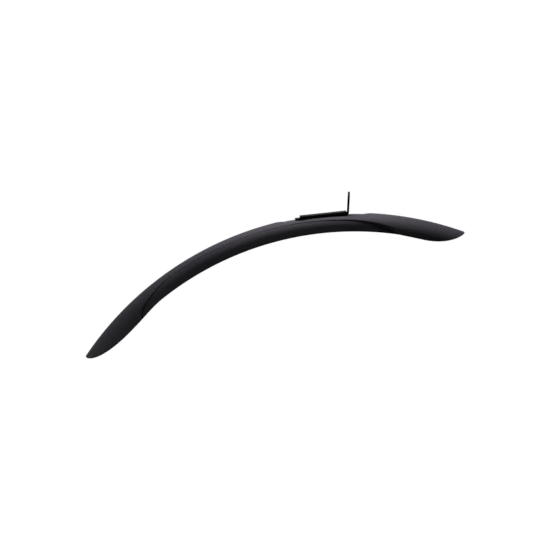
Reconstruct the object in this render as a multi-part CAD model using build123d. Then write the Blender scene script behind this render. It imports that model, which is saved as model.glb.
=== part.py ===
from build123d import *
from math import asin, cos, degrees, radians, sin, tan
import os

# A front bicycle mudguard: a moulded blade that follows the wheel, held at the fork crown by a bent
# strip bracket. Millimetres and degrees. The origin is the centre of the bracket's bolt hole, +X points
# forward along the bolt, +Z up along the bracket's upright. The wheel axle is parallel to Y.
# "Along" is measured on the crown of the blade, forward from the middle of the bracket seat, and
# "depth" is measured from the crown towards the axle.

# Blade: run round the wheel
crown_radius = 365.0        # outside of the crown, from the axle
rear_length = 318.3         # seat middle to rear tip
front_length = 164.9        # seat middle to front tip
rear_tip_land = 1.9         # short square face at each tip
front_tip_land = 1.4

# Blade: section
wall = 2.0
crown_section_radius = 35.0
band_half_width = 17.6      # raised centre band, at its edge
cap_half_width = 24.0       # full-width ends, where the side turns straight
side_draft = 5.0
flank_half_width = 21.2     # recessed flank, where the side turns straight
flank_lean = 38.0           # slope of the flank just under the band
flank_draft = 4.0
crease_step = 0.8           # from the edge of the band in to the flank

# Blade: lower edge, as depths and places along the crown
middle_depth = 19.8
rear_depth = 22.4
front_depth = 20.4
rear_tip_run = 64.0         # tip curve, from the tip to full depth
front_tip_run = 46.0
rear_blend_run = 46.5       # from full depth back to the middle depth
front_blend_run = 31.2

# Blade: handles of the edge curves, as shares of a curve's own run and drop
rear_tip_handle = 0.144     # from the tip
rear_tip_handle_drop = 0.857
rear_cap_handle = 0.154     # from full depth back towards the tip
front_tip_handle = 0.302
front_tip_handle_drop = 0.895
front_cap_handle = 0.202
blend_handle = 0.35
rear_swoop_handle = 0.22    # where the swoop leaves the edge of the band
rear_swoop_foot = 0.075     # where it nears the lower edge
rear_swoop_foot_drop = 0.23
front_swoop_handle = 0.44
front_swoop_foot = 0.15
front_swoop_foot_drop = 0.36

# Blade: places where the edge of the band swoops down to the lower edge
rear_swoop_start = 182.0    # behind the seat middle
rear_swoop_end = 242.0
front_drift_start = 70.0    # behind the seat middle: from here the edge sinks slowly
front_drift = 2.3           # how far it has sunk where the swoop starts
front_swoop_start = 34.0    # ahead of the seat middle
front_swoop_end = 95.5
swoop_overrun = 0.8         # past the lower edge

# Blade: bracket seat
seat_depth = 3.4            # flat under the leg, at the seat middle
recess_depth = 1.8          # round recess about the flat
recess_rear = 49.0
recess_front = 56.5
recess_ramp = 8.0
seat_floor = 2.5            # thickness under the flat

# Bracket
strip_thickness = 2.0
strip_width = 25.0
bend_radius = 1.5           # inside of the bend
seat_tilt = 9.0             # leg, rising forward
upright_reach = 16.7        # bolt hole down to the middle of the leg's thickness
upright_top = 8.0           # bolt hole up to the end
upright_corner = 8.0
seat_setback = 31.3         # bend corner back to the seat middle
leg_tail = 5.5              # leg sticking out behind the bar
tail_corner = 3.0
bolt_hole = 6.5

# Clamp bar, screws and washers
bar_thickness = 2.2
bar_width = 28.0
bar_length = 53.0
bar_gap = 0.4               # bar to the upright
bar_corner = 0.8
screw_size = 4.0
screw_pitch = 30.0
screw_head_diameter = 7.6
screw_head_height = 2.2
screw_head_bevel = 1.4      # round the top of the head, across
screw_head_slope = 40.0
screw_recess = 0.3          # screw ends below the top of the bar
socket_width = 2.5          # across flats
socket_depth = 1.3
washer_diameter = 12.0
washer_thickness = 1.0
hole_clearance = 0.25       # round a screw, on the radius
thread_clearance = 0.05
seat_clearance = 0.5        # beside the leg in its seat

# Places worked out from the sizes above
seat_forward = Vector(cos(radians(seat_tilt)), 0, sin(radians(seat_tilt)))
seat_up = Vector(-sin(radians(seat_tilt)), 0, cos(radians(seat_tilt)))
bend_corner = Vector(0, 0, -upright_reach)
seat_middle = bend_corner - seat_forward * seat_setback - seat_up * (strip_thickness / 2)
axle = seat_middle - seat_up * (crown_radius - seat_depth)
axle_line = Axis(axle, (0, 1, 0))
seat_plane = Plane(seat_middle, x_dir=seat_forward, z_dir=seat_up)
beyond = 10.0               # how far cutters reach past what they cut


def on_blade(along, depth):
    angle = along / crown_radius - radians(seat_tilt)
    return axle + Vector(sin(angle), 0, cos(angle)) * (crown_radius - depth)


def round_wheel(depth, start, end):
    middle = (start + end) / 2
    return ThreePointArc(on_blade(start, depth), on_blade(middle, depth), on_blade(end, depth))


def curve(*places):
    return Bezier(*[on_blade(along, depth) for along, depth in places])


def across(edges, half_width):
    side = make_face(edges).face()
    facing = side.normal_at().Y
    return extrude(side.moved(Pos(0, -facing * half_width, 0)), 2 * half_width)


# Sections of the blade, drawn across the wheel straight above the axle
crease_angle = asin(band_half_width / crown_section_radius)
crease_depth = crown_section_radius * (1 - cos(crease_angle))
arch_base = max(middle_depth, rear_depth, front_depth) + beyond


def in_section(y, depth):
    return axle + Vector(0, y, crown_radius - depth)


def arch(top_edges, corner, corner_centre, corner_start, draft, inset, base):
    corner_end = radians(90 - draft)
    radius = corner - inset

    def on_corner(angle, side):
        y = corner_centre[0] + radius * sin(angle)
        return in_section(side * y, corner_centre[1] - radius * cos(angle))

    edges = list(top_edges)
    feet = []
    for side in (-1, 1):
        start = on_corner(corner_start, side)
        middle = on_corner((corner_start + corner_end) / 2, side)
        end = on_corner(corner_end, side)
        end_depth = corner_centre[1] - radius * cos(corner_end)
        end_y = corner_centre[0] + radius * sin(corner_end)
        foot = in_section(side * (end_y + (base - end_depth) * tan(radians(draft))), base)
        edges += [ThreePointArc(start, middle, end), Line(end, foot)]
        feet.append(foot)
    return make_face(edges + [Line(*feet)])


def cap_arch(inset=0.0, base=arch_base):
    # Full-width section: round crown, rounder shoulders, straight sides
    side_angle = radians(90 - side_draft)
    reach = cap_half_width - band_half_width
    shoulder = reach / (sin(side_angle) - sin(crease_angle))
    offset_radius = crown_section_radius - shoulder
    centre = (offset_radius * sin(crease_angle), crown_section_radius - offset_radius * cos(crease_angle))
    crown = crown_section_radius - inset
    y = crown * sin(crease_angle)
    depth = crown_section_radius - crown * cos(crease_angle)
    top = ThreePointArc(in_section(-y, depth), in_section(0, inset), in_section(y, depth))
    return arch([top], shoulder, centre, crease_angle, side_draft, inset, base)


def flank_arch(inset=0.0, base=arch_base):
    # Narrower section that gives the flanks: they start a step inside the edge of the band
    side_angle = radians(90 - flank_draft)
    start_y = band_half_width - crease_step
    reach = flank_half_width - start_y
    corner = reach / (sin(side_angle) - sin(radians(flank_lean)))
    centre = (flank_half_width - corner * sin(side_angle), crease_depth + corner * cos(radians(flank_lean)))
    top_depth = centre[1] - corner + inset
    top = Line(in_section(-centre[0], top_depth), in_section(centre[0], top_depth))
    return arch([top], corner, centre, 0.0, flank_draft, inset, base)


def middle_strip(half_width, base=arch_base):
    # Section of everything between the flanks
    corners = [(-half_width, -beyond), (half_width, -beyond), (half_width, base), (-half_width, base)]
    return make_face(Polyline(*[in_section(y, depth) for y, depth in corners], close=True))


def round_blade(section):
    overrun = degrees(beyond / crown_radius)
    start = -seat_tilt - degrees(rear_length / crown_radius) - overrun
    turn = degrees((rear_length + front_length) / crown_radius) + 2 * overrun
    return revolve(section.rotate(axle_line, start), axle_line, turn)


def flank_zone(grow=0.0):
    # Side view of the recessed flank: the edge of the band, with a swoop to the lower edge at each end
    top = crease_depth - grow
    sunk = top + front_drift
    rear_run = rear_swoop_end - rear_swoop_start
    front_run = front_swoop_end - front_swoop_start
    drift_run = front_swoop_start + front_drift_start
    drift_slope = 2 * front_drift / drift_run
    rear_end = rear_depth + swoop_overrun
    front_end = front_depth + swoop_overrun
    rear_foot = top + rear_swoop_foot_drop * (rear_end - top)
    front_foot = sunk + front_swoop_foot_drop * (front_end - sunk)
    rear = (-rear_swoop_end - grow, arch_base)
    front = (front_swoop_end + grow, arch_base)
    rear_swoop = curve(
        (-rear_swoop_start, top),
        (-rear_swoop_start - rear_swoop_handle * rear_run - grow, top),
        (-rear_swoop_end + rear_swoop_foot * rear_run - grow, rear_foot),
        (-rear_swoop_end - grow, rear_end),
    )
    drift = ThreePointArc(
        on_blade(-front_drift_start, top),
        on_blade((front_swoop_start - front_drift_start) / 2, top + front_drift / 4),
        on_blade(front_swoop_start, sunk),
    )
    lead = front_swoop_handle * front_run + grow
    front_swoop = curve(
        (front_swoop_start, sunk),
        (front_swoop_start + lead, sunk + drift_slope * lead),
        (front_swoop_end - front_swoop_foot * front_run + grow, front_foot),
        (front_swoop_end + grow, front_end),
    )
    edges = [
        round_wheel(top, -rear_swoop_start, -front_drift_start),
        rear_swoop,
        drift,
        front_swoop,
        Line(rear_swoop @ 1, on_blade(*rear)),
        Line(front_swoop @ 1, on_blade(*front)),
        round_wheel(arch_base, rear[0], front[0]),
    ]
    return across(edges, cap_half_width + beyond)


def blade_outline():
    # Side view of what is kept of the arch: tip curves, blends and the long middle run
    rear_cap = -rear_length + rear_tip_run
    front_cap = front_length - front_tip_run
    middle_start = rear_cap + rear_blend_run
    middle_end = front_cap - front_blend_run
    rear_tip = curve(
        (-rear_length, rear_tip_land),
        (-rear_length + rear_tip_handle * rear_tip_run, rear_tip_handle_drop * rear_depth),
        (rear_cap - rear_cap_handle * rear_tip_run, rear_depth),
        (rear_cap, rear_depth),
    )
    front_tip = curve(
        (front_length, front_tip_land),
        (front_length - front_tip_handle * front_tip_run, front_tip_handle_drop * front_depth),
        (front_cap + front_cap_handle * front_tip_run, front_depth),
        (front_cap, front_depth),
    )
    rear_blend = curve(
        (rear_cap, rear_depth),
        (rear_cap + blend_handle * rear_blend_run, rear_depth),
        (middle_start - blend_handle * rear_blend_run, middle_depth),
        (middle_start, middle_depth),
    )
    front_blend = curve(
        (front_cap, front_depth),
        (front_cap - blend_handle * front_blend_run, front_depth),
        (middle_end + blend_handle * front_blend_run, middle_depth),
        (middle_end, middle_depth),
    )
    edges = [
        rear_tip,
        rear_blend,
        round_wheel(middle_depth, middle_start, middle_end),
        front_blend,
        front_tip,
        Line(on_blade(-rear_length, rear_tip_land), on_blade(-rear_length, -beyond)),
        Line(on_blade(front_length, front_tip_land), on_blade(front_length, -beyond)),
        round_wheel(-beyond, -rear_length, front_length),
    ]
    return across(edges, cap_half_width + 2 * beyond)


def seat_recess():
    # Round recess, flat across the crown, with a ramp at each end that runs on above the crown
    rear_floor = -recess_rear + recess_ramp
    front_floor = recess_front - recess_ramp
    rear_end = -recess_rear - recess_ramp
    front_end = recess_front + recess_ramp
    edges = [
        round_wheel(recess_depth, rear_floor, front_floor),
        Line(on_blade(rear_end, -recess_depth), on_blade(rear_floor, recess_depth)),
        Line(on_blade(front_end, -recess_depth), on_blade(front_floor, recess_depth)),
        round_wheel(-recess_depth, rear_end, front_end),
    ]
    return across(edges, cap_half_width)


def seat_thickening():
    # Inside of the crown under the recess, lowered as much as the outside
    floor = recess_depth + wall
    root = wall / 2
    edges = [
        round_wheel(floor, -recess_rear, recess_front),
        Line(on_blade(-recess_rear, floor), on_blade(-recess_rear - recess_ramp, root)),
        Line(on_blade(recess_front, floor), on_blade(recess_front + recess_ramp, root)),
        round_wheel(root, -recess_rear - recess_ramp, recess_front + recess_ramp),
    ]
    return across(edges, band_half_width)


# Stations along the leg, from the seat middle
half_strip = strip_thickness / 2
corner_shift = half_strip * (1 - sin(radians(seat_tilt))) / cos(radians(seat_tilt))
upright_back = seat_setback - corner_shift
bar_front = upright_back - bar_gap
bar_rear = bar_front - bar_length
leg_rear = bar_rear - leg_tail
screw_places = [(bar_front + bar_rear) / 2 + side * screw_pitch / 2 for side in (-1, 1)]

# Levels above the underside of the leg
bar_bottom = strip_thickness
bar_top = bar_bottom + bar_thickness
washer_top = -seat_floor
head_top = washer_top - washer_thickness
head_bottom = head_top - screw_head_height
clear_hole = screw_size / 2 + hole_clearance


def on_leg(station, level):
    return seat_middle + seat_forward * station + seat_up * level


def block(rear, front, width, low, high):
    size = (front - rear, width, high - low)
    return seat_plane * Pos((front + rear) / 2, 0, (high + low) / 2) * Box(*size)


def at_screws(shape):
    return [seat_plane * Pos(place, 0, 0) * shape for place in screw_places]


def pin(radius, low, high):
    return Pos(0, 0, (high + low) / 2) * Cylinder(radius, high - low)


def make_blade():
    outside = round_blade(cap_arch()) - (flank_zone() - round_blade(flank_arch()))
    outside &= blade_outline()
    outside -= seat_recess()
    outside -= block(leg_rear - beyond, upright_back + beyond, strip_width + 2 * seat_clearance, 0, beyond)
    hollow_base = arch_base + beyond
    hollow = round_blade(cap_arch(wall, hollow_base))
    sides = cap_arch(wall, hollow_base) - flank_arch(wall, hollow_base)
    sides -= middle_strip(band_half_width - crease_step - wall, hollow_base)
    hollow -= round_blade(sides) & flank_zone(grow=wall)
    hollow -= seat_thickening()
    hollow -= block(-recess_rear, recess_front, 2 * band_half_width, -seat_floor, seat_floor)
    return outside - hollow - at_screws(pin(clear_hole, -beyond, beyond))


def make_bracket():
    # Side view of the bent strip, then the rounded end about the bolt hole, and the holes
    inner_corner = on_leg(seat_setback - corner_shift, strip_thickness)
    outer_corner = on_leg(seat_setback + corner_shift, 0)
    side = [
        on_leg(leg_rear, 0),
        on_leg(leg_rear, strip_thickness),
        inner_corner,
        Vector(-half_strip, 0, upright_top),
        Vector(half_strip, 0, upright_top),
        outer_corner,
    ]
    strip = across(Polyline(*side, close=True).edges(), strip_width / 2)
    bends = strip.edges().filter_by(Axis.Y)
    strip = fillet(bends.sort_by_distance(inner_corner)[0], bend_radius)
    bends = strip.edges().filter_by(Axis.Y)
    strip = fillet(bends.sort_by_distance(outer_corner)[0], bend_radius + strip_thickness)
    tail = strip.edges().filter_by(Axis(seat_middle, seat_up)).sort_by(Axis(seat_middle, seat_forward))
    strip = fillet(tail[:2], tail_corner)
    strip = fillet(strip.edges().filter_by(Axis.X).group_by(Axis.Z)[-1], upright_corner)
    strip -= Rot(0, 90, 0) * Cylinder(bolt_hole / 2, strip_thickness)
    return strip - at_screws(pin(clear_hole, -beyond, beyond))


def make_clamp_bar():
    # Side view of the bar: its front end clears the inside of the bend
    bend_start = upright_back - bend_radius * tan(radians(90 - seat_tilt) / 2)
    relief = bar_front - bend_start + bar_gap / 2
    corner = min(bar_corner, bar_thickness / 3)
    side = [
        on_leg(bar_rear, bar_bottom),
        on_leg(bar_rear, bar_top),
        on_leg(bar_front - corner, bar_top),
        on_leg(bar_front, bar_top - corner),
        on_leg(bar_front, bar_bottom + bar_thickness / 2),
        on_leg(bar_front - relief, bar_bottom),
    ]
    bar = across(Polyline(*side, close=True).edges(), bar_width / 2)
    return bar - at_screws(pin(screw_size / 2 + thread_clearance, bar_bottom, bar_top))


def make_screw():
    head = pin(screw_head_diameter / 2, head_bottom, head_top)
    crown = head.faces().sort_by(Axis.Z)[0]
    head = chamfer(crown.edges(), screw_head_bevel, angle=screw_head_slope, reference=crown)
    socket = extrude(RegularPolygon(socket_width / 2, 6, major_radius=False), socket_depth)
    shank = pin(screw_size / 2, head_top, bar_top - screw_recess)
    return head + shank - Pos(0, 0, head_bottom) * socket


def make_washer():
    return pin(washer_diameter / 2, head_top, washer_top) - pin(clear_hole, head_top, washer_top)


pieces = {
    "blade": make_blade(),
    "bracket": make_bracket(),
    "clamp_bar": make_clamp_bar(),
    "clamp_screws": Compound(at_screws(make_screw())),
    "clamp_washers": Compound(at_screws(make_washer())),
}
os.makedirs("parts", exist_ok=True)
for name, shape in pieces.items():
    export_step(shape, f"parts/{name}.step")
    print(name, round(shape.volume, 1), shape.is_valid, len(shape.solids()))
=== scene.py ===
import bpy
import bmesh
import math
import numpy as np
from mathutils import Matrix, Vector


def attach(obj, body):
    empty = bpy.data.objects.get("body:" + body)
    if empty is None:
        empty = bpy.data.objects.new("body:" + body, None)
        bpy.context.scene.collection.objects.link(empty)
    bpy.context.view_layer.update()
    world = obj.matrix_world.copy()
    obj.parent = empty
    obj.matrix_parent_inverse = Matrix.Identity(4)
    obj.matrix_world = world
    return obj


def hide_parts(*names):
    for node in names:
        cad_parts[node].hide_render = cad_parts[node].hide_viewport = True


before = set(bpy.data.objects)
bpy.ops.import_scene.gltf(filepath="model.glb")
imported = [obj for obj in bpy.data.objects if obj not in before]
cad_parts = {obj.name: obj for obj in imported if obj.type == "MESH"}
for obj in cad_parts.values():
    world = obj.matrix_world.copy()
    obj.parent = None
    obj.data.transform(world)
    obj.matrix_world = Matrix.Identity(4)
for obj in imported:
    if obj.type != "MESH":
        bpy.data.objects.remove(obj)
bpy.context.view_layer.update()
mm = 0.001
print("frame loaded:", ", ".join(sorted(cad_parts)))


# materials

def linear(hexColour):  # sRGB hex to the linear colour that shaders take
    values = [int(hexColour[i:i + 2], 16) / 255 for i in (1, 3, 5)]
    return tuple(v / 12.92 if v <= 0.04045 else ((v + 0.055) / 1.055) ** 2.4 for v in values) + (1.0,)


def add(tree, kind, inputs=None, **settings):  # one node; an input is a value, or a socket to link from
    node = tree.nodes.new(kind)
    for name, value in settings.items():
        setattr(node, name, value)
    for key, value in (inputs or {}).items():
        if isinstance(value, bpy.types.NodeSocket):
            tree.links.new(value, node.inputs[key])
        else:
            node.inputs[key].default_value = value
    return node


def newMaterial(name):
    material = bpy.data.materials.new(name)
    material.use_nodes = True
    material.node_tree.nodes.clear()
    return material, material.node_tree


def perMetre(sizeMm):  # texture scale at which one feature is that wide
    return 1 / (sizeMm * mm)


def wear(piece, material):
    piece.data.materials.clear()
    piece.data.materials.append(material)


# the third colour, with its patch size and share, is a painted highlight along the rim
polypropylene = {"dark": "#38363b", "light": "#403e43", "rimHighlight": "#545257", "roughness": (0.5, 0.62),
                 "ior": 1.49, "specular": 0.015, "cloudMm": 35.0, "grainMm": 0.9, "grainDepthMm": 0.015,
                 "rimHighlightMm": 5.0, "rimHighlightShare": (0.5, 0.75)}


def mouldedPolypropylene(look):
    # black injection-moulded polypropylene from a spark-eroded tool: matt, faintly grainy and cloudy,
    # with a painted highlight along its rim, drawn paler in patches there
    material, tree = newMaterial("mouldedPolypropylene")
    spot = add(tree, "ShaderNodeTexCoord").outputs["Object"]
    cloud = add(tree, "ShaderNodeTexNoise", {"Vector": spot, "Scale": perMetre(look["cloudMm"]), "Detail": 3.0})
    # the real grain is about 0.3 mm, drawn coarser so that it shows
    grain = add(tree, "ShaderNodeTexNoise", {"Vector": spot, "Scale": perMetre(look["grainMm"]), "Detail": 2.0})
    # painted highlight: on the rim, where this patch noise is high, the colour is drawn paler
    highlightMask = add(tree, "ShaderNodeTexNoise", {"Vector": spot, "Scale": perMetre(look["rimHighlightMm"]), "Detail": 4.0})
    patches = add(tree, "ShaderNodeMapRange", {"Value": highlightMask.outputs["Fac"], "From Min": look["rimHighlightShare"][0],
                                               "From Max": look["rimHighlightShare"][1]})
    onEdge = add(tree, "ShaderNodeAttribute", attribute_name="paintedRimHighlight")
    highlighted = add(tree, "ShaderNodeMath", {0: patches.outputs["Result"], 1: onEdge.outputs["Fac"]},
                 operation="MULTIPLY")
    plain = add(tree, "ShaderNodeMix", {"Factor": cloud.outputs["Fac"], "A": linear(look["dark"]),
                                        "B": linear(look["light"])}, data_type="RGBA")
    colour = add(tree, "ShaderNodeMix", {"Factor": highlighted.outputs[0], "A": plain.outputs["Result"],
                                         "B": linear(look["rimHighlight"])}, data_type="RGBA")
    rough = add(tree, "ShaderNodeMapRange", {"Value": cloud.outputs["Fac"], "To Min": look["roughness"][0],
                                             "To Max": look["roughness"][1]})
    bump = add(tree, "ShaderNodeBump", {"Height": grain.outputs["Fac"], "Strength": 0.5,
                                        "Distance": look["grainDepthMm"] * mm})
    shader = add(tree, "ShaderNodeBsdfPrincipled", {"Base Color": colour.outputs["Result"],
                                                    "Roughness": rough.outputs["Result"], "IOR": look["ior"],
                                                    "Specular IOR Level": look["specular"],
                                                    "Normal": bump.outputs["Normal"]})
    add(tree, "ShaderNodeOutputMaterial", {"Surface": shader.outputs["BSDF"]})
    return material


powderCoat = {"dark": "#060607", "light": "#0b0b0c", "roughness": (0.5, 0.6), "ior": 1.5, "specular": 0.015,
              "peelMm": 1.4, "peelDepthMm": 0.03}


def powderCoatedSteel(look):
    # black powder coat on steel strip: deep black, satin, with a faint orange peel
    material, tree = newMaterial("powderCoatedSteel")
    spot = add(tree, "ShaderNodeTexCoord").outputs["Object"]
    peel = add(tree, "ShaderNodeTexNoise", {"Vector": spot, "Scale": perMetre(look["peelMm"]), "Detail": 1.0})
    colour = add(tree, "ShaderNodeMix", {"Factor": peel.outputs["Fac"], "A": linear(look["dark"]),
                                         "B": linear(look["light"])}, data_type="RGBA")
    rough = add(tree, "ShaderNodeMapRange", {"Value": peel.outputs["Fac"], "To Min": look["roughness"][0],
                                             "To Max": look["roughness"][1]})
    bump = add(tree, "ShaderNodeBump", {"Height": peel.outputs["Fac"], "Strength": 0.5,
                                        "Distance": look["peelDepthMm"] * mm})
    shader = add(tree, "ShaderNodeBsdfPrincipled", {"Base Color": colour.outputs["Result"],
                                                    "Roughness": rough.outputs["Result"], "IOR": look["ior"],
                                                    "Specular IOR Level": look["specular"],
                                                    "Normal": bump.outputs["Normal"]})
    add(tree, "ShaderNodeOutputMaterial", {"Surface": shader.outputs["BSDF"]})
    return material


blackZinc = {"dark": "#2b2c2f", "light": "#45464a", "roughness": (0.3, 0.48), "bloomMm": 2.5}


def blackZincPlatedSteel(look):
    # zinc-plated steel fasteners, passivated black: dark metal, with a patchy bloom
    material, tree = newMaterial("blackZincPlatedSteel")
    spot = add(tree, "ShaderNodeTexCoord").outputs["Object"]
    bloom = add(tree, "ShaderNodeTexNoise", {"Vector": spot, "Scale": perMetre(look["bloomMm"]), "Detail": 4.0})
    colour = add(tree, "ShaderNodeMix", {"Factor": bloom.outputs["Fac"], "A": linear(look["dark"]),
                                         "B": linear(look["light"])}, data_type="RGBA")
    rough = add(tree, "ShaderNodeMapRange", {"Value": bloom.outputs["Fac"], "To Min": look["roughness"][0],
                                             "To Max": look["roughness"][1]})
    shader = add(tree, "ShaderNodeBsdfPrincipled", {"Base Color": colour.outputs["Result"], "Metallic": 1.0,
                                                    "Roughness": rough.outputs["Result"]})
    add(tree, "ShaderNodeOutputMaterial", {"Surface": shader.outputs["BSDF"]})
    return material


# blade: a moulded shell, drawn as one ring of points for each station along the crown

blade = {  # mm and degrees, the same sizes as the solid's, and its softened edges
    "crownRadius": 365.0, "seatTilt": 9.0, "uprightReach": 16.7, "seatSetback": 31.3, "stripThickness": 2.0,
    "wall": 2.0, "archRadius": 35.0, "bandHalf": 17.6, "creaseStep": 0.8, "sectionReach": 40.0,
    "capHalf": 24.0, "capDraft": 5.0, "flankHalf": 21.2, "flankLean": 38.0, "flankDraft": 4.0,
    "middleDepth": 19.8, "blendHandle": 0.35,
    "rearEnd": {"length": 318.3, "land": 1.9, "depth": 22.4, "tipRun": 64.0, "blendRun": 46.5,
                "tipHandle": 0.144, "tipHandleDrop": 0.857, "capHandle": 0.154},
    "frontEnd": {"length": 164.9, "land": 1.4, "depth": 20.4, "tipRun": 46.0, "blendRun": 31.2,
                 "tipHandle": 0.302, "tipHandleDrop": 0.895, "capHandle": 0.202},
    "rearSwoop": {"start": 182.0, "end": 242.0, "handle": 0.22, "foot": 0.075, "footDrop": 0.23},
    "frontSwoop": {"start": 34.0, "end": 95.5, "handle": 0.44, "foot": 0.15, "footDrop": 0.36},
    "driftStart": 70.0, "drift": 2.3, "swoopOverrun": 0.8,
    "seatDepth": 3.4, "seatHalf": 13.0, "seatFloor": 2.5,
    "recessDepth": 1.8, "recessRear": 49.0, "recessFront": 56.5, "recessRamp": 8.0,
    "screwPlaces": (-11.454, 18.546), "screwHole": 2.25, "drillDepth": 30.0, "holeSegments": 48,
    "creaseRound": 0.8, "creaseSpread": 0.5, "rimRound": 0.5, "tipRound": 0.3, "roundShare": 0.45,
    "sharpAngle": 38.0, "weld": 0.005, "sliver": 0.01, "thinFlank": 0.05, "thinTip": 0.1, "noCrease": 99.0,
    "curvePoints": 80, "driftPoints": 40, "arcPoints": 60, "cornerPoints": 90,
    "bandPoints": 26, "bendPoints": 8, "flankPoints": 16, "rimPoints": 3,
    "step": 2.5, "fineStep": 0.6, "nearestShare": 0.4,  # between stations
    "rearFoot": (-4.0, 18.0), "frontFoot": (-16.0, 4.0),  # fine steps about the feet of the swoops
    "tipSteps": (0.0, 0.04, 0.1, 0.18, 0.3, 0.6, 1.1, 1.8, 2.7, 3.8, 5.2, 7.0, 9.0, 11.0, 13.0),
}
radius = blade["crownRadius"]
tilt = math.radians(blade["seatTilt"])
seatForward = np.array([math.cos(tilt), math.sin(tilt)])  # side view: x and z
seatUp = np.array([-math.sin(tilt), math.cos(tilt)])
seatMiddle = (np.array([0.0, -blade["uprightReach"]]) - seatForward * blade["seatSetback"]
              - seatUp * blade["stripThickness"] / 2)
axle = seatMiddle - seatUp * (radius - blade["seatDepth"])
creaseAngle = math.asin(blade["bandHalf"] / blade["archRadius"])
creaseDepth = blade["archRadius"] * (1 - math.cos(creaseAngle))


def sideView(along, depth):  # along the crown from the seat middle, and depth under the crown
    angle = along / radius - tilt
    reach = radius - depth
    return np.stack([axle[0] + reach * np.sin(angle), axle[1] + reach * np.cos(angle)], -1)


def bezier(points, count):  # curve from its end points and the handles between them
    t = np.linspace(0, 1, count)[:, None]
    while len(points) > 1:
        points = [(1 - t) * a + t * b for a, b in zip(points[:-1], points[1:])]
    return points[0]


def curve(*places):  # cubic with its handles in the side view, back as along and depth
    offset = bezier([sideView(along, depth) for along, depth in places], blade["curvePoints"]) - axle
    return np.stack([(np.arctan2(offset[:, 0], offset[:, 1]) + tilt) * radius,
                     radius - np.hypot(offset[:, 0], offset[:, 1])], -1)


def endEdge(size, side):  # lower edge from the long middle run out to one tip
    tip, depth = size["length"], size["depth"]
    full = tip - size["tipRun"]
    middle = full - size["blendRun"]
    lead = blade["blendHandle"] * size["blendRun"]
    places = [(middle, blade["middleDepth"]), (middle + lead, blade["middleDepth"]), (full - lead, depth),
              (full, depth), (full + size["capHandle"] * size["tipRun"], depth),
              (tip - size["tipHandle"] * size["tipRun"], size["tipHandleDrop"] * depth), (tip, size["land"])]
    places = [(side * along, deep) for along, deep in places]
    return np.concatenate([curve(*places[:4]), curve(*places[3:])[1:]])


def lowerEdge():  # depth of the lower edge along the blade
    return np.concatenate([endEdge(blade["rearEnd"], -1)[::-1], endEdge(blade["frontEnd"], 1)])


def bandEdge(grow):  # depth of the edge of the band along the blade, and its two swoops
    rear, front = blade["rearSwoop"], blade["frontSwoop"]
    top = creaseDepth - grow
    sunk = top + blade["drift"]
    rearRun, frontRun = rear["end"] - rear["start"], front["end"] - front["start"]
    driftRun = front["start"] + blade["driftStart"]
    rearDeep = blade["rearEnd"]["depth"] + blade["swoopOverrun"]
    frontDeep = blade["frontEnd"]["depth"] + blade["swoopOverrun"]
    rearLine = curve((-rear["end"] - grow, rearDeep),
                     (-rear["end"] + rear["foot"] * rearRun - grow, top + rear["footDrop"] * (rearDeep - top)),
                     (-rear["start"] - rear["handle"] * rearRun - grow, top), (-rear["start"], top))
    driftAlong = np.linspace(-blade["driftStart"], front["start"], blade["driftPoints"])
    share = (driftAlong + blade["driftStart"]) / driftRun
    driftLine = np.stack([driftAlong, top + blade["drift"] * share ** 2], -1)
    lead = front["handle"] * frontRun + grow
    frontLine = curve((front["start"], sunk),
                      (front["start"] + lead, sunk + 2 * blade["drift"] / driftRun * lead),
                      (front["end"] - front["foot"] * frontRun + grow,
                       sunk + front["footDrop"] * (frontDeep - sunk)),
                      (front["end"] + grow, frontDeep))
    return np.concatenate([rearLine, driftLine, frontLine[1:]])


def withSide(arcs, draft):  # a section's arcs, and the straight side under them
    y, depth = arcs[-1]
    reach = blade["sectionReach"]
    return np.array(arcs + [(y + (reach - depth) * math.tan(math.radians(draft)), reach)])


def capSection(inset):  # full width: round crown, rounder shoulder, straight side
    arch = blade["archRadius"]
    sideAngle = math.radians(90 - blade["capDraft"])
    shoulder = (blade["capHalf"] - blade["bandHalf"]) / (math.sin(sideAngle) - math.sin(creaseAngle))
    centreY = (arch - shoulder) * math.sin(creaseAngle)
    centreDepth = arch - (arch - shoulder) * math.cos(creaseAngle)
    top = [((arch - inset) * math.sin(a), arch - (arch - inset) * math.cos(a))
           for a in np.linspace(0, creaseAngle, blade["arcPoints"])]
    turn = [(centreY + (shoulder - inset) * math.sin(a), centreDepth - (shoulder - inset) * math.cos(a))
            for a in np.linspace(creaseAngle, sideAngle, blade["arcPoints"])]
    return withSide(top + turn[1:], blade["capDraft"])


def flankSection(inset):  # narrower: the flank, from under the edge of the band
    sideAngle = math.radians(90 - blade["flankDraft"])
    lean = math.radians(blade["flankLean"])
    startY = blade["bandHalf"] - blade["creaseStep"]
    corner = (blade["flankHalf"] - startY) / (math.sin(sideAngle) - math.sin(lean))
    centreY = blade["flankHalf"] - corner * math.sin(sideAngle)
    centreDepth = creaseDepth + corner * math.cos(lean)
    turn = [(centreY + (corner - inset) * math.sin(a), centreDepth - (corner - inset) * math.cos(a))
            for a in np.linspace(0, sideAngle, blade["cornerPoints"])]
    return withSide(turn, blade["flankDraft"])


def lengths(path):
    return np.concatenate([[0.0], np.cumsum(np.hypot(*np.diff(path, axis=0).T))])


def resample(path, at):  # points at those lengths along a path
    length = lengths(path)
    return np.stack([np.interp(at, length, path[:, 0]), np.interp(at, length, path[:, 1])], -1)


def spread(path, start, end, count):  # evenly spaced points, without the path's first and last few mm
    return resample(path, np.linspace(start, lengths(path)[-1] - end, count))


def cut(path, low, high):  # the part of a section between two depths
    y = np.interp([low, high], path[:, 1], path[:, 0])
    inside = path[(path[:, 1] > low) & (path[:, 1] < high)]
    return np.concatenate([[(y[0], low)], inside, [(y[1], high)]])


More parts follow.
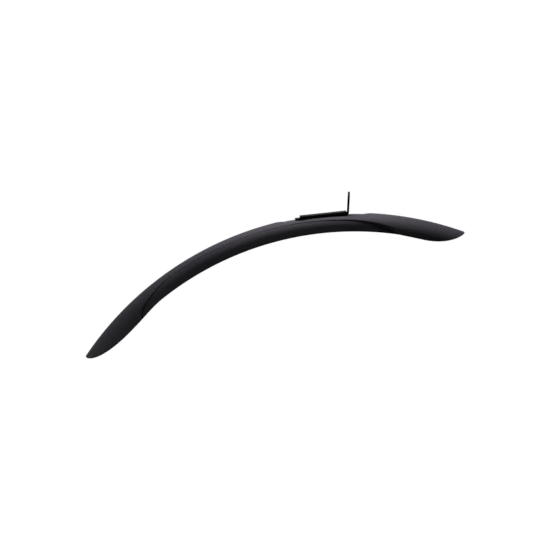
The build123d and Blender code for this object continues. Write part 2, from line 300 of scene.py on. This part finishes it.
def halfSection(cap, flank, start, crease, low):  # centre to lower edge, with the soft step under the band
    bends = blade["bendPoints"]
    if crease > low - blade["thinFlank"]:
        whole = cut(cap, start, low)
        rim = min(blade["rimRound"], lengths(whole)[-1] / 2)
        band = spread(whole, 0, rim, blade["bandPoints"])
        return np.concatenate([band, np.repeat(band[-1:], bends + blade["flankPoints"], 0)]), whole[-1]
    band, side = cut(cap, start, crease), cut(flank, crease, low)
    sideLength = lengths(side)[-1]
    soft = blade["creaseRound"] + blade["creaseSpread"] * (band[-1, 0] - side[0, 0])  # softer where it is wider
    soft = min(soft, sideLength * blade["roundShare"], lengths(band)[-1] / 2)
    rim = min(blade["rimRound"], sideLength * blade["roundShare"])
    upper = spread(band, 0, soft, blade["bandPoints"])
    lower = spread(side, soft, rim, blade["flankPoints"])
    step = bezier([upper[-1], band[-1], side[0], lower[0]], bends + 2)[1:-1]
    return np.concatenate([upper, step, lower]), side[-1]


def seated(along, outside, inside):  # the seat's recess and flat, and the thicker floor inside
    rear, front, ramp = blade["recessRear"], blade["recessFront"], blade["recessRamp"]
    fromEnd = min(along + rear, front - along) / ramp
    outside[:, 1] = np.maximum(outside[:, 1], blade["recessDepth"] * np.clip(fromEnd, -1, 1))
    if -rear < along < front:
        flat = radius - (radius - blade["seatDepth"]) / math.cos(along / radius)
        pad = radius - (radius - blade["seatDepth"] - blade["seatFloor"]) / math.cos(along / radius)
        onLeg = outside[:, 0] < blade["seatHalf"]
        outside[onLeg, 1] = np.maximum(outside[onLeg, 1], flat)
        inside[:, 1] = np.maximum(inside[:, 1], pad)
    root = blade["wall"] / 2
    floor = root + (blade["recessDepth"] + root) * np.clip(fromEnd + 1, 0, 1)
    inside[:, 1] = np.maximum(inside[:, 1], floor)


def roundRim(outside, outsideCorner, insideCorner, inside):  # the lower edge, with its two edges rounded
    width = np.hypot(*(insideCorner - outsideCorner))
    inward = (insideCorner - outsideCorner) / width
    inward *= min(blade["rimRound"], width * blade["roundShare"])
    count = blade["rimPoints"] + 1
    return np.concatenate([bezier([outside, outsideCorner, outsideCorner + inward], count)[1:],
                           bezier([insideCorner - inward, insideCorner, inside], count)[:-1]])


def bladeRing(along, low, crease, innerCrease):
    wall, soft = blade["wall"], blade["tipRound"]
    fromTip = min(along + blade["rearEnd"]["length"], blade["frontEnd"]["length"] - along)
    shrink = soft - math.sqrt(soft ** 2 - max(soft - fromTip, 0) ** 2)  # rounds the tip's own edge
    low -= shrink
    outside, outsideCorner = halfSection(capSection(shrink), flankSection(0.0), shrink, crease, low)
    if low > wall + blade["thinTip"]:
        inside, insideCorner = halfSection(capSection(wall), flankSection(wall), wall, innerCrease, low)
    else:
        insideCorner = np.array([0.0, low])
        inside = np.zeros_like(outside) + insideCorner
    seated(along, outside, inside)
    rim = roundRim(outside[-1], outsideCorner, insideCorner, inside[-1])
    return np.concatenate([outside, rim, inside[::-1]])


def paintedRimHighlight():  # how much painted highlight each point of half a ring gets: only the rim
    side = np.zeros(blade["bandPoints"] + blade["bendPoints"] + blade["flankPoints"])
    return np.concatenate([side, np.ones(2 * blade["rimPoints"]), side])


def stations():  # closer together at the tips and the feet of the swoops, and one at each end of a ramp
    ends = np.array(blade["tipSteps"])
    rearTip, frontTip = -blade["rearEnd"]["length"], blade["frontEnd"]["length"]
    rearFoot = np.arange(*blade["rearFoot"], blade["fineStep"]) - blade["rearSwoop"]["end"]
    frontFoot = np.arange(*blade["frontFoot"], blade["fineStep"]) + blade["frontSwoop"]["end"]
    rear, front, ramp = -blade["recessRear"], blade["recessFront"], blade["recessRamp"]
    ramps = np.array([rear - ramp, rear, rear + ramp, front - ramp, front, front + ramp])
    fixed = np.concatenate([rearTip + ends, rearFoot, ramps, frontFoot, frontTip - ends])
    run = np.arange(rearTip + ends[-1], frontTip - ends[-1], blade["step"])
    free = [along for along in run if np.abs(fixed - along).min() > blade["step"] * blade["nearestShare"]]
    return np.sort(np.concatenate([fixed, free]))


def buildBlade():
    wall, noCrease = blade["wall"], blade["noCrease"]
    lower, outerBand, innerBand = lowerEdge(), bandEdge(0.0), bandEdge(wall)
    innerStart = blade["archRadius"] - math.sqrt((blade["archRadius"] - wall) ** 2
                                                 - (blade["bandHalf"] - blade["creaseStep"] - wall) ** 2)
    built = bmesh.new()
    # each point carries how much painted highlight it gets, one on the rim
    highlightLayer = built.verts.layers.float.new("paintedRimHighlight")
    highlightMask = paintedRimHighlight()
    highlightMask = np.concatenate([highlightMask, highlightMask[-2:0:-1]])
    rings = []
    for along in stations():
        low = np.interp(along, lower[:, 0], lower[:, 1])
        crease = np.interp(along, outerBand[:, 0], outerBand[:, 1], left=noCrease, right=noCrease)
        innerCrease = np.interp(along, innerBand[:, 0], innerBand[:, 1], left=noCrease, right=noCrease)
        half = bladeRing(along, low, crease, max(innerCrease, innerStart))
        ring = np.concatenate([half, half[-2:0:-1] * (-1, 1)])
        spots = sideView(along, ring[:, 1])
        verts = [built.verts.new((x * mm, y * mm, z * mm)) for (x, z), y in zip(spots, ring[:, 0])]
        for vert, amount in zip(verts, highlightMask):
            vert[highlightLayer] = amount
        rings.append(verts)
    for here, there in zip(rings[:-1], rings[1:]):
        for i, j in zip(range(len(here)), [*range(1, len(here)), 0]):
            built.faces.new((here[i], there[i], there[j], here[j]))
    built.faces.new(rings[0])
    built.faces.new(rings[-1][::-1])
    bmesh.ops.remove_doubles(built, verts=built.verts, dist=blade["weld"] * mm)
    bmesh.ops.recalc_face_normals(built, faces=built.faces)
    data = bpy.data.meshes.new("mudguardBlade")
    built.to_mesh(data)
    built.free()
    piece = bpy.data.objects.new("mudguardBlade", data)
    bpy.context.scene.collection.objects.link(piece)
    return piece


def drillScrewHoles(piece):  # square to the seat
    drills = bmesh.new()
    for along in blade["screwPlaces"]:
        x, z = (seatMiddle + seatForward * along) * mm
        bmesh.ops.create_cone(drills, cap_ends=True, segments=blade["holeSegments"],
                              radius1=blade["screwHole"] * mm, radius2=blade["screwHole"] * mm,
                              depth=blade["drillDepth"] * mm,
                              matrix=Matrix.Translation((x, 0, z)) @ Matrix.Rotation(-tilt, 4, "Y"))
    data = bpy.data.meshes.new("drills")
    drills.to_mesh(data)
    drills.free()
    tool = bpy.data.objects.new("drills", data)
    bpy.context.scene.collection.objects.link(tool)
    cutter = piece.modifiers.new("screwHoles", "BOOLEAN")
    cutter.object = tool
    drilled = bpy.data.meshes.new_from_object(piece.evaluated_get(bpy.context.evaluated_depsgraph_get()))
    piece.modifiers.clear()
    piece.data = drilled
    bpy.data.objects.remove(tool)
    clean = bmesh.new()  # without the slivers that the cut leaves
    clean.from_mesh(drilled)
    bmesh.ops.dissolve_degenerate(clean, dist=blade["sliver"] * mm, edges=clean.edges)
    manySided = [face for face in clean.faces if len(face.verts) > 4]
    bmesh.ops.triangulate(clean, faces=manySided, ngon_method="BEAUTY")
    clean.to_mesh(drilled)
    clean.free()
    drilled.shade_smooth()
    drilled.set_sharp_from_angle(angle=math.radians(blade["sharpAngle"]))


bladePiece = buildBlade()
drillScrewHoles(bladePiece)
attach(bladePiece, "root")
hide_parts("blade")
wear(bladePiece, mouldedPolypropylene(polypropylene))
print("blade:", len(bladePiece.data.vertices), "points,", len(bladePiece.data.polygons), "faces")


# metal pieces: the solids themselves, with softened edges

metal = {"weldMm": 0.002, "flatAngle": 0.5, "stripRoundMm": 0.35, "screwRoundMm": 0.2, "roundSegments": 3,
         "cornerAngle": 35.0}


def soften(node, roundMm):
    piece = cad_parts[node]
    weld = piece.modifiers.new("weld", "WELD")
    weld.merge_threshold = metal["weldMm"] * mm
    flats = piece.modifiers.new("flatFaces", "DECIMATE")
    flats.decimate_type = "DISSOLVE"
    flats.angle_limit = math.radians(metal["flatAngle"])
    bevel = piece.modifiers.new("softEdges", "BEVEL")
    bevel.width = roundMm * mm
    bevel.segments = metal["roundSegments"]
    bevel.limit_method = "ANGLE"
    bevel.angle_limit = math.radians(metal["cornerAngle"])
    bevel.harden_normals = True
    for face in piece.data.polygons:
        face.use_smooth = True
    return piece


coat = powderCoatedSteel(powderCoat)
zinc = blackZincPlatedSteel(blackZinc)
for node in ("bracket", "clamp_bar"):
    wear(soften(node, metal["stripRoundMm"]), coat)
for node in ("clamp_screws", "clamp_washers"):
    wear(soften(node, metal["screwRoundMm"]), zinc)
print("metal pieces dressed")


# studio: pale floor at the wheel's ground level, white surroundings, softboxes above, beside and below

studio = {  # metres and watts
    "tyreRadiusMm": 351.0, "floorHalf": 12.0, "floorGrey": "#e6e6e6", "nearGlow": 0.5, "farGlow": 1.0,
    "glowFrom": 0.7, "glowTo": 1.7, "ambient": 0.01, "aim": (-0.08, 0.0, -0.03),
    "keySoftbox": {"place": (0.05, 0.2, 2.2), "size": 0.12, "watts": 10.0},
    "underSoftbox": {"place": (-0.08, 0.2, -0.55), "size": 0.4, "watts": 1.5},
    "overheadSoftbox": {"place": (-0.04, 0.01, 0.2), "size": 0.2, "watts": 1.18},
    "rearSoftbox": {"place": (-0.25, 0.01, 0.3), "size": 0.2, "watts": 0.55},
    "fillSoftbox": {"place": (-0.4, -0.2, -0.2), "size": 0.2, "watts": 0.225},
}


def whiteForViewer(tree):  # 1 for rays that show the background, straight or in a reflection
    rays = add(tree, "ShaderNodeLightPath").outputs
    seen = add(tree, "ShaderNodeMath", {0: rays["Is Camera Ray"], 1: rays["Is Glossy Ray"]},
               operation="MAXIMUM")
    return add(tree, "ShaderNodeMath", {0: seen.outputs[0], 1: rays["Is Transmission Ray"]},
               operation="MAXIMUM").outputs[0]


def paleFloor(ground):
    # matt painted studio floor: pale grey under the object, where it keeps a soft shadow, white far off;
    # it shows to the viewer, and throws no light up at the object
    material, tree = newMaterial("paintedStudioFloor")
    matt = add(tree, "ShaderNodeBsdfDiffuse", {"Color": linear(studio["floorGrey"])})
    spot = add(tree, "ShaderNodeNewGeometry").outputs["Position"]
    away = add(tree, "ShaderNodeVectorMath", {0: spot, 1: (studio["aim"][0], studio["aim"][1], ground)},
               operation="DISTANCE")
    level = add(tree, "ShaderNodeMapRange", {"Value": away.outputs["Value"], "From Min": studio["glowFrom"],
                                             "From Max": studio["glowTo"], "To Min": studio["nearGlow"],
                                             "To Max": studio["farGlow"]}, interpolation_type="SMOOTHSTEP")
    glow = add(tree, "ShaderNodeEmission", {"Color": linear("#ffffff"), "Strength": level.outputs["Result"]})
    both = add(tree, "ShaderNodeAddShader", {0: matt.outputs[0], 1: glow.outputs[0]})
    unseen = add(tree, "ShaderNodeBsdfDiffuse", {"Color": linear("#000000")})
    shown = add(tree, "ShaderNodeMixShader", {0: whiteForViewer(tree), 1: unseen.outputs[0],
                                              2: both.outputs[0]})
    add(tree, "ShaderNodeOutputMaterial", {"Surface": shown.outputs[0]})
    return material


def buildFloor():
    ground = (axle[1] - studio["tyreRadiusMm"]) * mm
    half = studio["floorHalf"]
    data = bpy.data.meshes.new("studioFloor")
    corners = [(-half, -half, ground), (half, -half, ground), (half, half, ground), (-half, half, ground)]
    data.from_pydata(corners, [], [(0, 1, 2, 3)])
    floor = bpy.data.objects.new("studioFloor", data)
    bpy.context.scene.collection.objects.link(floor)
    wear(floor, paleFloor(ground))


def buildSurroundings():
    world = bpy.data.worlds.new("studioWorld")
    world.use_nodes = True
    tree = world.node_tree
    tree.nodes.clear()
    dim = add(tree, "ShaderNodeBackground", {"Color": linear("#ffffff"), "Strength": studio["ambient"]})
    white = add(tree, "ShaderNodeBackground", {"Color": linear("#ffffff"), "Strength": 1.0})
    both = add(tree, "ShaderNodeMixShader", {0: whiteForViewer(tree), 1: dim.outputs[0], 2: white.outputs[0]})
    add(tree, "ShaderNodeOutputWorld", {"Surface": both.outputs[0]})
    bpy.context.scene.world = world


def hangSoftbox(name):
    data = bpy.data.lights.new(name, "AREA")
    data.shape = "DISK"
    data.size = studio[name]["size"]
    data.energy = studio[name]["watts"]
    lamp = bpy.data.objects.new(name, data)
    lamp.location = studio[name]["place"]
    lamp.visible_camera = False
    lamp.rotation_euler = (Vector(studio["aim"]) - lamp.location).to_track_quat("-Z", "Y").to_euler()
    bpy.context.scene.collection.objects.link(lamp)


buildFloor()
buildSurroundings()
for name in ("keySoftbox", "underSoftbox", "overheadSoftbox", "rearSoftbox", "fillSoftbox"):
    hangSoftbox(name)
print("studio lit")


# camera: the photograph's view

view = {"target": (-78.3, 0.0, -89.66), "elevation": 4.5, "roll": 2.83, "distance": 3500.0,
        "pixelsPerMm": 0.8891, "framePixels": 550, "sensorMm": 36.0}


def buildCamera():
    elevation, roll = math.radians(view["elevation"]), math.radians(view["roll"])
    forward = Vector((0, math.cos(elevation), -math.sin(elevation)))
    level = Vector((1, 0, 0))
    upright = level.cross(forward)
    right = level * math.cos(roll) + upright * math.sin(roll)
    up = upright * math.cos(roll) - level * math.sin(roll)
    eye = (Vector(view["target"]) - forward * view["distance"]) * mm
    data = bpy.data.cameras.new("photoView")
    data.sensor_width = view["sensorMm"]
    data.lens = view["pixelsPerMm"] * view["distance"] * view["sensorMm"] / view["framePixels"]
    camera = bpy.data.objects.new("photoView", data)
    turn = Matrix((right, up, -forward)).transposed()
    camera.matrix_world = Matrix.Translation(eye) @ turn.to_4x4()
    bpy.context.scene.collection.objects.link(camera)
    bpy.context.scene.camera = camera


buildCamera()
bpy.context.scene.view_settings.view_transform = "Standard"
print("camera set")
